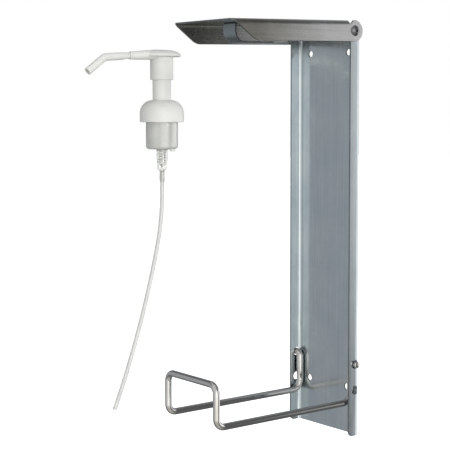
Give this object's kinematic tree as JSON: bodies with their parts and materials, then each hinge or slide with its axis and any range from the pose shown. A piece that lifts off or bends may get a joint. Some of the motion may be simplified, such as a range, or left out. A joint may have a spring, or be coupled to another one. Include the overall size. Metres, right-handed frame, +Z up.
{
  "type": "wall mounted soap dispenser",
  "caption": "Folded steel wall bracket with a hinged press lever and a swing-up wire bottle holder, and a foam pump with a long nozzle and dip tube beside it.",
  "frame": {"origin": "centre of the four wall screw holes, on the bracket's back face", "axes": "+Z up along the bracket, +Y into the wall, so the front of the dispenser is at -Y"},
  "size_m": [0.2231, 0.1709, 0.3804],
  "materials": {
    "brushed_sheet": "fine brushed stainless sheet",
    "lever_sheet": "polished stainless sheet, brushed outside",
    "strap_steel": "satin stainless strip",
    "screw_steel": "bright stainless screw",
    "nut_steel": "turned stainless nut",
    "washer_nylon": "natural nylon",
    "polished_wire": "polished stainless wire",
    "white_pp": "satin white polypropylene",
    "soft_pe": "natural polyethylene",
    "mesh_nylon": "woven nylon mesh",
    "clear_pp": "translucent polypropylene",
    "clear_pe": "translucent polyethylene tube",
    "gasket_foam": "foamed polyethylene",
    "spring_steel": "drawn stainless wire",
    "ball_steel": "ground stainless ball"
  },
  "bodies": {
    "bracket": {"wall_bracket": "brushed_sheet", "pivot_screws": "screw_steel", "pivot_washers": "washer_nylon", "pivot_nuts": "nut_steel"},
    "lever": {"lever_arm": "lever_sheet", "pusher_strap": "strap_steel"},
    "holder": {"wire_holder": "polished_wire"},
    "pump_body": {"air_cylinder": "clear_pp", "return_spring": "spring_steel", "ball_retainer": "soft_pe", "dip_tube": "clear_pe", "neck_gasket": "gasket_foam"},
    "collar": {"closure_collar": "white_pp"},
    "plunger": {"stem": "white_pp", "air_piston": "soft_pe", "air_valve_ring": "soft_pe", "liquid_piston": "soft_pe", "mesh_cartridge": "soft_pe", "foam_meshes": "mesh_nylon"},
    "head": {"actuator_head": "white_pp", "nozzle_extension": "white_pp"},
    "outlet_valve": {"outlet_ball": "ball_steel"},
    "inlet_valve": {"inlet_ball": "ball_steel"}
  },
  "joints": [
    {"name": "lever_swing", "type": "hinge", "parent": "bracket", "child": "lever", "pos_m": [0, -0.0096, 0.1735], "axis": [-1, 0, 0], "range_deg": [-80, 90]},
    {"name": "holder_swing", "type": "hinge", "parent": "bracket", "child": "holder", "pos_m": [0, -0.0055, -0.131], "axis": [-1, 0, 0], "range_deg": [0, 88]},
    {"name": "pump_lift", "type": "slide", "parent": "bracket", "child": "pump_body", "axis": [0, 0, 1], "range_m": [0, 0.12]},
    {"name": "collar_turn", "type": "hinge", "parent": "pump_body", "child": "collar", "pos_m": [-0.155, -0.0835, 0.09], "axis": [0, 0, 1], "continuous": true},
    {"name": "pump_press", "type": "slide", "parent": "pump_body", "child": "plunger", "axis": [0, 0, -1], "range_m": [0, 0.014], "stiffness_N_per_m": 350, "springref_m": -0.012, "deforming": ["return_spring"]},
    {"name": "head_turn", "type": "hinge", "parent": "plunger", "child": "head", "pos_m": [-0.155, -0.0835, 0.15], "axis": [0, 0, 1], "continuous": true},
    {"name": "outlet_ball_lift", "type": "slide", "parent": "plunger", "child": "outlet_valve", "axis": [0, 0, 1], "range_m": [0, 0.0025]},
    {"name": "inlet_ball_lift", "type": "slide", "parent": "pump_body", "child": "inlet_valve", "axis": [0, 0, 1], "range_m": [0, 0.0009]}
  ]
}
